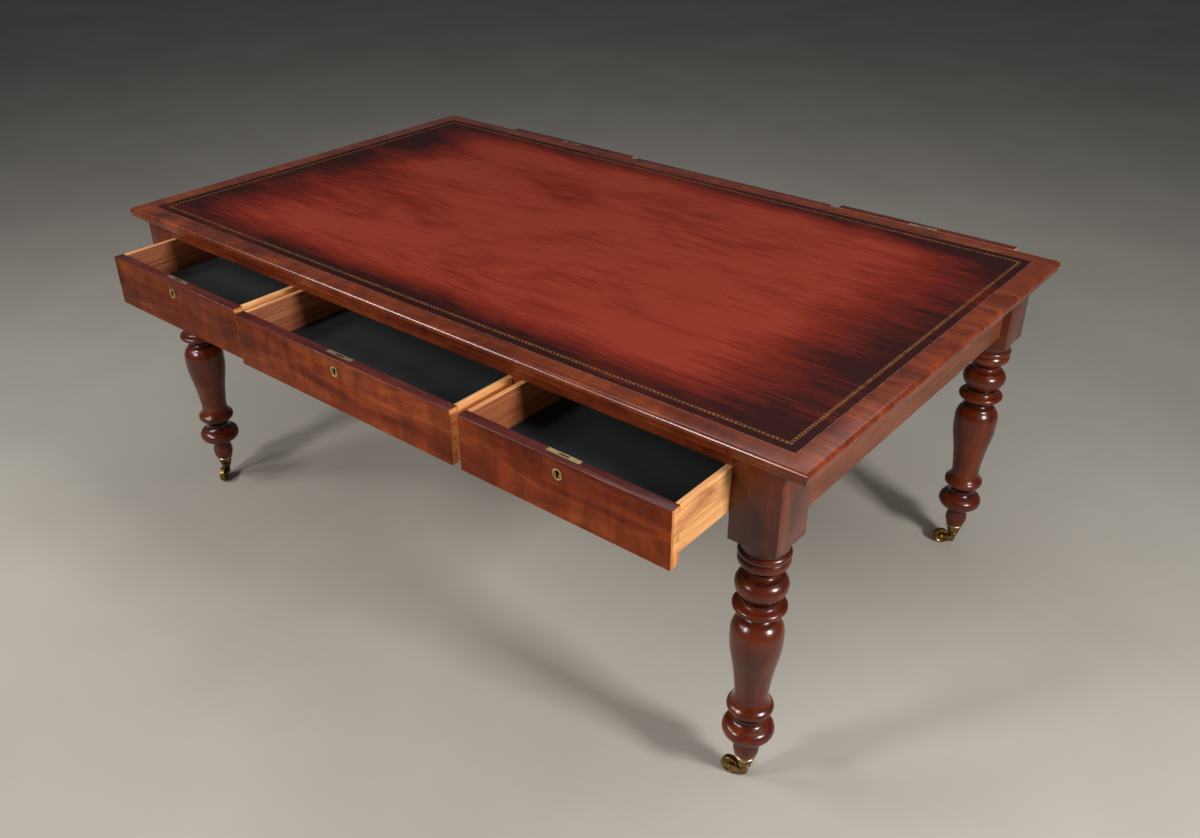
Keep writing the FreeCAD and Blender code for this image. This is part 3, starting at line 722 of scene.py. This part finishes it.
def darken_coves(material):
    """Multiply the wood's colour by a dark tone, painted shade with old wax, that peaks in each
    hollow, by height alone.
    """
    tree = material.node_tree
    shader = tree.nodes["Principled BSDF"]
    wood = shader.inputs["Base Color"].links[0].from_socket
    place = add(tree, "TexCoord").outputs["Object"]
    axes = add(tree, "SeparateXYZ", {"Vector": place})
    share = add(tree, "MapRange", [axes.outputs["Z"], castor_height, block_bottom])
    stops = [(0.0, "#FFFFFF")]
    for below, middle, above in cove_shares:
        stops += [(below, "#FFFFFF"), (middle, cove_shade_and_wax), (above, "#FFFFFF")]
    stops.append((1.0, "#FFFFFF"))
    # The ramp is painted shade in each hollow, together with old wax.
    wax = add(tree, "ValToRGB", {"Fac": share}, stops=stops)
    dark = add(
        tree, "Mix", {"Factor": 1.0, "A": wood, "B": wax}, data_type="RGBA", blend_type="MULTIPLY"
    )
    set_inputs(tree, shader, {"Base Color": dark})


darken_coves(mahogany["legs"])
print("coves", len(cove_shares))

# %% Make the leg's block
leg_block = start(
    "cube", "leg_block", size=1, location=(0, 0, block_bottom + block_height / 2),
    scale=(block_side, block_side, block_height),
)
select(leg_block, "edges", lambda edge: True)
bpy.ops.mesh.bevel(offset=block_edge_round, segments=3)
close_edit(leg_block)
join(leg, leg_block)
print("leg", len(leg.data.polygons), "faces")

# %% Set the four legs
leg_names = ("near_left", "near_right", "far_left", "far_right")
leg_places = {}
for corner in leg_names:
    low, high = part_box(f"leg_{corner}")
    leg_places[corner] = Vector(((low.x + high.x) / 2, (low.y + high.y) / 2, 0))
    standing = copy_of(leg, f"turned_leg_{corner}", Matrix.Translation(leg_places[corner]))
    dress(standing, "desk", [f"leg_{corner}"], "polished_mahogany", mahogany["legs"])
bpy.data.objects.remove(leg)
print("legs stand at", [[round(value, 3) for value in place.xy] for place in leg_places.values()])

# %% [markdown]
# ## The castors
# Each leg ends in a cast brass cup with a bright rim. Under it a horn swivels on a pin and carries
# a dished wheel on an axle. The cup and the wheel are turned on the same lathe. The horn is a
# turned boss with a yoke on one side, and from the yoke two arms are extruded, bending and
# narrowing, to the eyes round the axle.

# %% Turn the cup and the wheel
# Every point of an outline is a radius and a height. The wheel's heights are along its axle.
cup_rim_height, cup_socket_depth, cup_socket_radius = 0.0045, 0.0096, 0.01345
cup_rim_bottom = castor_height - cup_rim_height
cup_socket_floor = castor_height - cup_socket_depth
cup_sides, pintle_sides, wheel_sides, horn_sides = 48, 32, 64, 40
cup_outline = follow((cup_socket_radius, cup_socket_floor), [
    ("line", (cup_socket_radius, castor_height)),
    ("line", (0.0172, castor_height)),
    ("arc", (0.0195, castor_height - cup_rim_height / 2), (0.0178, cup_rim_bottom)),
    ("line", (0.0170, cup_rim_bottom - 0.0008)),
    ("curve", (0.0160, 0.0480), (0.0142, 0.0410), (0.0120, 0.0350)),
    ("arc", (0.0127, 0.0335), (0.0120, 0.0320)),
    ("line", (0.0110, 0.0290)),
])
cup = turn_on_lathe("castor_cup", cup_outline, cup_sides)
pintle = turn_on_lathe("castor_pintle", follow((0.0035, 0.0070), [
    ("arc", (0.0055, 0.0078), (0.0060, 0.0092)),
    ("line", (0.0040, 0.0095)),
    ("line", (0.0040, cup_socket_floor)),
]), pintle_sides)
join(cup, pintle)

wheel_radius, wheel_half_width = 0.0185, 0.006
wheel_side = follow((0.0026, wheel_half_width), [
    ("line", (0.0056, wheel_half_width)),
    ("line", (0.0062, 0.0038)),
    ("line", (0.0118, 0.0035)),
    ("arc", (0.0134, 0.0045), (0.0148, 0.0058)),
    ("line", (0.0170, wheel_half_width)),
    ("arc", (0.0181, 0.0055), (wheel_radius, 0.0044)),
])
wheel_outline = wheel_side + [Vector((point.x, -point.y)) for point in reversed(wheel_side)]
wheel = turn_on_lathe("castor_wheel", wheel_outline, wheel_sides)
wheel.data.transform(Matrix.Rotation(math.pi / 2, 4, "X"))
print("cup and wheel", len(cup.data.polygons), len(wheel.data.polygons), "faces")

# %% Make a board with softened edges
def board(name, low, high, edge_round, segments=2):
    """A plain board between two corners. Sharp edges don't exist on real timber or castings."""
    low, high = Vector(low), Vector(high)
    piece = start("cube", name, size=1, location=(low + high) / 2, scale=high - low)
    bpy.ops.mesh.select_all(action="SELECT")
    bpy.ops.mesh.bevel(offset=edge_round, segments=segments)
    return close_edit(piece)


print("boards are bevelled cubes")

# %% Make the horn
castor_trail = 0.027
horn_bottom, horn_top = 0.0098, 0.0287
arm_inner, arm_thickness = 0.0065, 0.0025
arm_root_height = 0.0130
along_y = Matrix.Rotation(math.pi / 2, 4, "X")
at_axle = Matrix.Translation((castor_trail, 0, wheel_radius))


def horn_arm(side):
    """One arm, from the yoke out to the eye round the axle. It narrows and bends a little."""
    middle_y = side * (arm_inner + arm_thickness / 2)
    arm = start(
        "cube", "arm", size=1, location=(0.0035, middle_y, 0.0175),
        scale=(0.003, arm_thickness, arm_root_height),
    )
    for reach, rise, share in (
        (0.008, 0.0016, 0.86), (0.008, 0.0004, 0.82), (0.006, -0.001, 0.95),
    ):
        select(arm, "faces", lambda face: face.normal.x > 0.9)
        bpy.ops.mesh.extrude_region_move(TRANSFORM_OT_translate={"value": (reach, 0, rise)})
        bpy.ops.transform.resize(value=(1, 1, share))
    bpy.ops.mesh.select_all(action="SELECT")
    bpy.ops.mesh.bevel(offset=0.0005, segments=2)
    close_edit(arm)
    eye = turn_on_lathe("eye", follow((0.0030, 0), [
        ("line", (0.0052, 0)), ("line", (0.0057, 0.0005)), ("line", (0.0057, 0.0020)),
        ("line", (0.0052, arm_thickness)), ("line", (0.0030, arm_thickness)),
    ]), pintle_sides)
    eye_y = side * arm_inner + (arm_thickness if side > 0 else 0)
    eye.data.transform(Matrix.Translation((0, eye_y, 0)) @ along_y)
    eye.data.transform(at_axle)
    return join(arm, eye)


boss = turn_on_lathe("castor_horn", follow((0.0052, horn_bottom), [
    ("arc", (0.0068, horn_bottom + 0.0006), (0.0073, horn_bottom + 0.0022)),
    ("line", (0.0073, 0.0235)),
    ("arc", (0.0092, 0.0252), (0.0100, 0.0272)),
    ("line", (0.0100, 0.0280)),
    ("line", (0.0094, horn_top)),
]), horn_sides)
yoke = board("yoke", (0, -0.0088, 0.0112), (0.0062, 0.0088, 0.0242), 0.0014, 3)
axle = turn_on_lathe("axle", follow((0.0015, -0.0108), [
    ("arc", (0.0032, -0.0104), (0.0040, -0.0094)),
    ("line", (0.0040, -0.0090)),
    ("line", (0.0025, -0.0090)),
    ("line", (0.0025, 0.0090)),
    ("line", (0.0040, 0.0090)),
    ("line", (0.0040, 0.0094)),
    ("arc", (0.0032, 0.0104), (0.0015, 0.0108)),
]), pintle_sides)
axle.data.transform(at_axle @ along_y)
horn = join(boss, yoke, axle, horn_arm(-1), horn_arm(1))
print("horn", len(horn.data.polygons), "faces")

# %% Set the castors
castor_turns = {"near_left": 309, "near_right": 191, "far_left": 250, "far_right": 208}
for corner in leg_names:
    place = Matrix.Translation(leg_places[corner])
    turn = Matrix.Rotation(math.radians(castor_turns[corner]), 4, "Z")
    fixed_cup = copy_of(cup, f"castor_cup_{corner}", place)
    dress(fixed_cup, "desk", ["castor_cups"], "polished_brass", polished_brass, aged_brass)
    for face in fixed_cup.data.polygons:
        face.material_index = int(face.center.z <= cup_rim_bottom)
    fork = copy_of(horn, f"castor_fork_{corner}", place @ turn)
    dress(fork, f"{corner}_castor", [f"castor_horn_{corner}"], "aged_brass", aged_brass)
    rolling = copy_of(wheel, f"castor_roller_{corner}", place @ turn @ at_axle)
    dress(rolling, f"{corner}_wheel", [f"castor_wheel_{corner}"], "aged_brass", aged_brass)
for pattern in (cup, horn, wheel):
    bpy.data.objects.remove(pattern)
print("castors set at", list(castor_turns.values()), "degrees")

# %% [markdown]
# ## The drawers
# Each drawer has a polished front with a dark polished top edge. Its end shows the paler wood
# behind the facing, and its sides are bare cedar, dovetailed into the front. The front has sockets
# for the tails, the lock and the key, so it is a softened copy of the frame's own; the plain boards
# of the box are made new. Each piece gets several materials, and each face takes one by the way it
# points: this is how one board can be polished on its face and bare behind.

# %% Copy a node of the frame and soften its edges
flat_angle, sharp_angle = math.radians(1), math.radians(40)


def open_copy(node, name):
    """A copy of a CAD node, merged, with flat faces made whole, open in edit mode."""
    piece = copy_of(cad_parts[node], name, Matrix())
    bpy.ops.object.select_all(action="DESELECT")
    piece.select_set(True)
    bpy.context.view_layer.objects.active = piece
    piece.data.materials.clear()
    bpy.ops.mesh.customdata_custom_splitnormals_clear()
    bpy.ops.object.mode_set(mode="EDIT")
    bpy.ops.mesh.select_all(action="SELECT")
    bpy.ops.mesh.remove_doubles(threshold=merge_distance)
    bpy.ops.mesh.dissolve_limited(angle_limit=flat_angle)
    return piece


def softened_copy(node, name, width):
    """A copy of a CAD node whose edges are bevelled for good."""
    piece = open_copy(node, name)
    bpy.ops.object.mode_set(mode="OBJECT")
    soft = piece.modifiers.new("soft_edges", "BEVEL")
    soft.width, soft.segments = width, 2
    soft.limit_method, soft.angle_limit = "ANGLE", sharp_angle
    bpy.ops.object.modifier_apply(modifier=soft.name)
    bpy.ops.object.shade_smooth_by_angle(angle=smooth_angle)
    return piece


def round_edges(piece, width):
    """A live bevel on the edges, so that they catch the light."""
    rounded = piece.modifiers.new("rounded_edges", "BEVEL")
    rounded.width, rounded.segments, rounded.limit_method = width, 3, "ANGLE"
    return rounded


print("a copy of a node is merged before it is bevelled")

# %% Make the drawer fronts
drawer_names = [
    f"{side}_{place}" for side in ("near", "far") for place in ("left", "middle", "right")
]
facing_thickness = 0.0025
arris = 0.0004
escutcheon_drop, escutcheon_radius = 0.0270, 0.0105
inlay_depth, case_place = 0.0005, 0.0120


def finish_front(drawer, face_y):
    """Polished on its face and top, pale at its ends, bare behind, painted black as shade in the
    keyhole.
    """
    front = softened_copy(f"{drawer}_front", f"drawer_front_{drawer}", arris)
    dress(front, f"{drawer}_drawer", [f"{drawer}_front"], "polished_mahogany",
          mahogany["fronts"], mahogany["front_edges"], cedar_ends, shaded_cedar_inside, keyhole_shade_wood)
    lock_low, lock_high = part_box(f"{drawer}_lock")
    ring_x, ring_z = (lock_low.x + lock_high.x) / 2, lock_high.z - escutcheon_drop
    for face in front.data.polygons:
        depth = abs(face.center.y - face_y)
        from_ring = math.hypot(face.center.x - ring_x, face.center.z - ring_z)
        # Faces in the keyhole are painted near black, as shade in the deep hole.
        if from_ring < escutcheon_radius and inlay_depth / 2 < depth < case_place:
            face.material_index = 4
        elif depth < facing_thickness and face.normal.z < 0.5:
            face.material_index = 0
        elif abs(face.normal.z) > 0.5:
            face.material_index = 1
        else:
            face.material_index = 3 if abs(face.normal.y) > 0.5 else 2


for drawer in drawer_names:
    low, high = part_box(f"{drawer}_front")
    finish_front(drawer, low.y if drawer.startswith("near") else high.y)
print("fronts", len(drawer_names))

# %% Widen the keyholes
# Long use has worn the keyholes of the escutcheons wide. Each lock is a merged copy of the frame's
# own. A cylinder and a slot below it, the worn keyhole, are cut through its escutcheon only.
keyhole_radius, keyhole_slot_width, keyhole_slot_length = 0.0040, 0.0042, 0.0105
key_drop = 0.0240
escutcheon_depth, escutcheon_rim_height = 0.0017, 0.0005
lock_edge_round = 0.0003


def cut_away(piece, primitive, **settings):
    """Take a primitive's shape out of a piece."""
    cutter = close_edit(start(primitive, "cutter", **settings))
    cut = piece.modifiers.new("cut", "BOOLEAN")
    cut.operation, cut.object = "DIFFERENCE", cutter
    bpy.context.view_layer.objects.active = piece
    bpy.ops.object.modifier_apply(modifier=cut.name)
    bpy.data.objects.remove(cutter)
    piece.select_set(True)


def widen_keyhole(drawer):
    """The lock with its worn keyhole. The dish inside the escutcheon's rim is left tarnished."""
    lock = close_edit(open_copy(f"{drawer}_lock", f"drawer_lock_{drawer}"))
    low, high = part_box(f"{drawer}_lock")
    inward = 1 if drawer.startswith("near") else -1
    face_y = low.y if inward > 0 else high.y
    middle_y = face_y + inward * escutcheon_depth / 2
    key_place = Vector(((low.x + high.x) / 2, middle_y, high.z - key_drop))
    cut_away(
        lock, "cylinder", radius=keyhole_radius, depth=2 * escutcheon_depth,
        vertices=32, location=key_place, rotation=(math.pi / 2, 0, 0),
    )
    cut_away(
        lock, "cube", size=1,
        location=key_place - Vector((0, 0, keyhole_slot_length / 2)),
        scale=(keyhole_slot_width, 2 * escutcheon_depth, keyhole_slot_length),
    )
    dress(lock, f"{drawer}_drawer", [f"{drawer}_lock"], "polished_brass",
          rubbed_brass, dulled_brass)
    for face in lock.data.polygons:
        depth = (face.center.y - face_y) * inward
        face.material_index = int(escutcheon_rim_height / 2 < depth < escutcheon_depth)
    round_edges(lock, lock_edge_round).harden_normals = True


for drawer in drawer_names:
    widen_keyhole(drawer)
print("locks", len(drawer_names))

# %% Make the sides, the back and the dovetails
side_thickness = 0.011
tail_count = 3
tail_root_share, tail_end_share = 0.30, 0.40
front_lap = 0.006
bottom_rise = 0.0115
back_drop = 0.008
ledge_thickness, ledge_drop = 0.005, 0.026


def dovetail(x_range, y_root, y_end, height, spacing):
    """A block whose end face is resized, so that it widens into the front."""
    root_half, end_half = spacing * tail_root_share, spacing * tail_end_share
    tail = start(
        "cube", "dovetail", size=1,
        location=(sum(x_range) / 2, (y_root + y_end) / 2, height),
        scale=(abs(x_range[1] - x_range[0]), abs(y_end - y_root), 2 * root_half),
    )
    outward = 1 if y_end > y_root else -1
    select(tail, "faces", lambda face: face.normal.y * outward > 0.9)
    bpy.ops.transform.resize(value=(1, 1, end_half / root_half), center_override=(0, y_end, height))
    return close_edit(tail)


def drawer_box(drawer):
    """The two sides with their tails, the back and, in the near middle drawer, the ledge."""
    low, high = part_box(f"{drawer}_box")
    front_low, front_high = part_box(f"{drawer}_front")
    near = drawer.startswith("near")
    outward = -1 if near else 1
    tail_end = (front_low if near else front_high).y - outward * front_lap
    root = (front_high if near else front_low).y
    rear = (high if near else low).y
    spacing = (high.z - low.z) / tail_count
    pieces = []
    for outer_x, inward in ((low.x, 1), (high.x, -1)):
        inner_x = outer_x + inward * side_thickness
        xs = sorted((outer_x, inner_x))
        ys = sorted((root, rear))
        pieces.append(board("side", (xs[0], ys[0], low.z), (xs[1], ys[1], high.z), arris))
        for count in range(tail_count):
            pieces.append(dovetail(xs, root, tail_end, low.z + spacing * (count + 0.5), spacing))
        if drawer == "near_middle":
            ledge_x = sorted((inner_x, inner_x + inward * ledge_thickness))
            ledge_y = sorted((root, rear + outward * side_thickness))
            pieces.append(board("ledge", (ledge_x[0], ledge_y[0], low.z + bottom_rise + 0.001),
                                (ledge_x[1], ledge_y[1], high.z - ledge_drop), arris))
    back_y = sorted((rear, rear + outward * side_thickness))
    pieces.append(board("back", (low.x + side_thickness, back_y[0], low.z + bottom_rise),
                        (high.x - side_thickness, back_y[1], high.z - back_drop), arris))
    return join(*pieces)


for drawer in drawer_names:
    low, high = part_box(f"{drawer}_box")
    box = drawer_box(drawer)
    box.name = box.data.name = f"drawer_box_{drawer}"
    dress(box, f"{drawer}_drawer", [f"{drawer}_box"], "drawer_cedar",
          lit_cedar_outside, shaded_cedar_inside, cedar_edges, cedar_back)
    middle_x = (low.x + high.x) / 2
    for face in box.data.polygons:
        from_middle = face.center.x - middle_x
        # Outer faces take the cedar painted as lit, inner faces the one with painted shade.
        if face.normal.z > 0.5:
            face.material_index = 2
        elif abs(face.normal.x) > 0.5:
            face.material_index = 0 if from_middle * face.normal.x > 0 else 1
        else:
            face.material_index = 3
print("boxes", len(drawer_names))

# %% [markdown]
# ## The parts that stay as they are
# Rails, uprights, runners, guides and linings are plain boards, so the frame's own nodes stay, with
# a finish in their material slots.

# %% Finish the plain parts
leather_edge_round = 0.0008
finishes = {
    "writing_leather": red_leather,
    "end_aprons": mahogany["aprons"],
    "top_rails": mahogany["rails"],
    "drawer_muntins": mahogany["uprights"],
    **dict.fromkeys(("bearer_rails", "centre_rail"), pine_along),
    **dict.fromkeys(("drawer_runners", "drawer_guides", "drawer_kickers"), pine_across),
}
for drawer in drawer_names:
    finishes[f"{drawer}_bottom"] = pine_along
    finishes[f"{drawer}_lining"] = lining_cloth
    finishes[f"{drawer}_bolt"] = aged_brass
for node, finish in finishes.items():
    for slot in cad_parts[node].material_slots:
        slot.material = finish
round_edges(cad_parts["writing_leather"], leather_edge_round)
print("plain parts", len(finishes))

# %% [markdown]
# ## The studio
# Two small soft boxes stand to the left and to the right of the desk's near corner. They draw the
# two bright spots on each moulding of the legs and the sharp shadows inside the drawers. A wide,
# low one, further round to the left, draws the line of light along the nose of the top. A large,
# weak one hangs high over the top. A fill beside the camera lifts the near right corner and isn't
# reflected in the polish. The floor is plain and pale, and the sky is a soft grey.

# %% Lay the floor
floor_size, floor_cloud = 60, 0.625


def pale_floor():
    """Smooth plaster, very slightly clouded."""
    material, tree, shader, place = new_material("pale_plaster_floor")
    clouds = add(tree, "TexNoise", {"Vector": place, "Scale": 1 / floor_cloud, "Detail": 4.0})
    stops = [(0.3, "#A29C92"), (0.7, "#ACA69C")]
    colour = add(tree, "ValToRGB", {"Fac": clouds}, stops=stops)
    set_inputs(tree, shader, {"Base Color": colour, "Roughness": 0.8})
    return material


bpy.ops.object.select_all(action="DESELECT")
bpy.ops.mesh.primitive_plane_add(size=floor_size, location=(0, 0, 0))
floor = bpy.context.active_object
floor.name = floor.data.name = "studio_floor"
floor.data.materials.append(pale_floor())
print("floor laid")

# %% Hang the lights
def soft_box(name, place, aim, size, power):
    """A rectangular lamp that points at a place. Its size is in metres, its power in watts."""
    bpy.ops.object.light_add(type="AREA", location=place)
    light = bpy.context.active_object
    light.name = name
    light.rotation_euler = (Vector(aim) - Vector(place)).to_track_quat("-Z", "Y").to_euler()
    light.data.shape = "RECTANGLE"
    light.data.size, light.data.size_y = size
    light.data.energy = power
    return light


soft_box("soft_box_left", (-0.8, -3.2, 2.35), (0.1, -0.2, 0.5), (0.55, 0.55), 60)
soft_box("soft_box_far_left", (-1.97, -2.09, 2.3), (0.1, -0.53, 0.74), (1.3, 0.34), 42)
soft_box("soft_box_right", (2.9, -0.4, 1.75), (0.2, 0, 0.6), (0.5, 0.5), 72)
soft_box("soft_box_over", (0.6, 0.5, 2.9), (0.3, 0, 0.7), (3.2, 2.2), 31)
fill = soft_box("soft_box_fill", (1.9, -2.6, 1.5), (0.3, -0.4, 0.5), (0.8, 0.8), 7)
fill.visible_glossy = False
world = bpy.data.worlds.new("studio_sky")
world.use_nodes = True
sky = world.node_tree.nodes["Background"]
set_inputs(world.node_tree, sky, {"Color": "#B8BCC4", "Strength": 0.14})
bpy.context.scene.world = world
bpy.context.scene.view_settings.view_transform = "Standard"

# %% [markdown]
# ## Bring the scene up to date
# Last, the view layer is updated.

# %% Update the view layer
bpy.context.view_layer.update()
